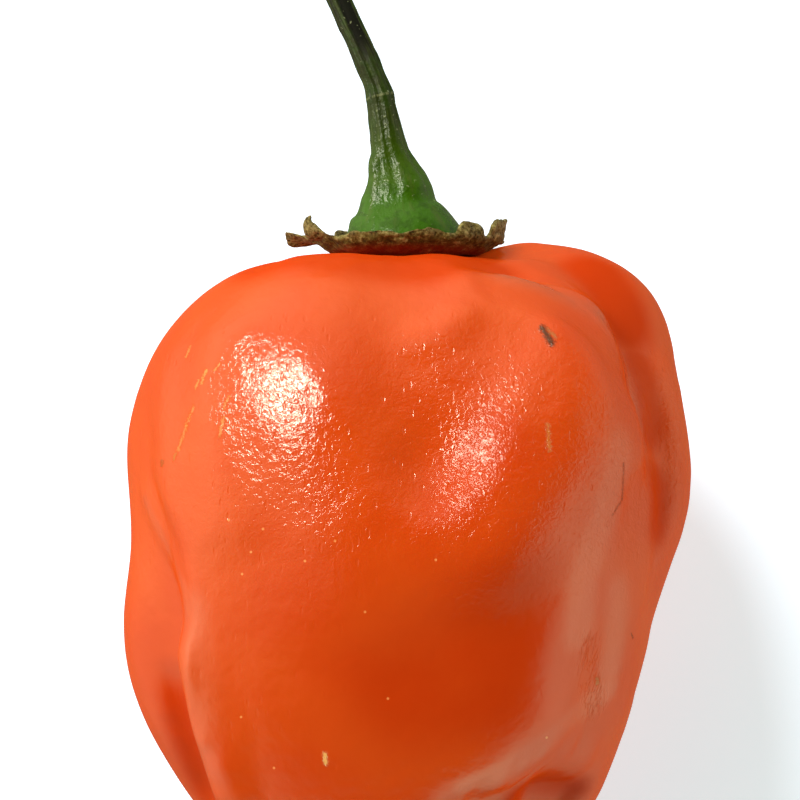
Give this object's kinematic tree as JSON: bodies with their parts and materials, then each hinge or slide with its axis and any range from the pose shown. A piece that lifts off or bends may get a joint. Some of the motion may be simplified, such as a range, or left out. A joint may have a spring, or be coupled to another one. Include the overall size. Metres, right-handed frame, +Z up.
{
  "type": "chilli pepper",
  "caption": "Lobed orange-red habanero-type chilli pepper lying on its side, with a dried calyx and a curved green stem.",
  "frame": {"origin": "on the surface that the pepper lies on, under the middle of its box", "axes": "+Z up, with the broad front lobe on top; +Y along the pepper, from its tip towards its stem"},
  "size_m": [0.0378, 0.0746, 0.0336],
  "materials": {
    "skin": "waxy, glossy orange-red skin with fine pits, wrinkles and small scars",
    "dried_calyx": "dry, rough, olive-brown withered leaf",
    "green_stem": "satin green stalk with fine ribs, bright at its foot and near black at its end"
  },
  "bodies": {
    "root": {"fruit": "skin", "calyx": "dried_calyx", "stem": "green_stem"}
  },
  "joints": []
}
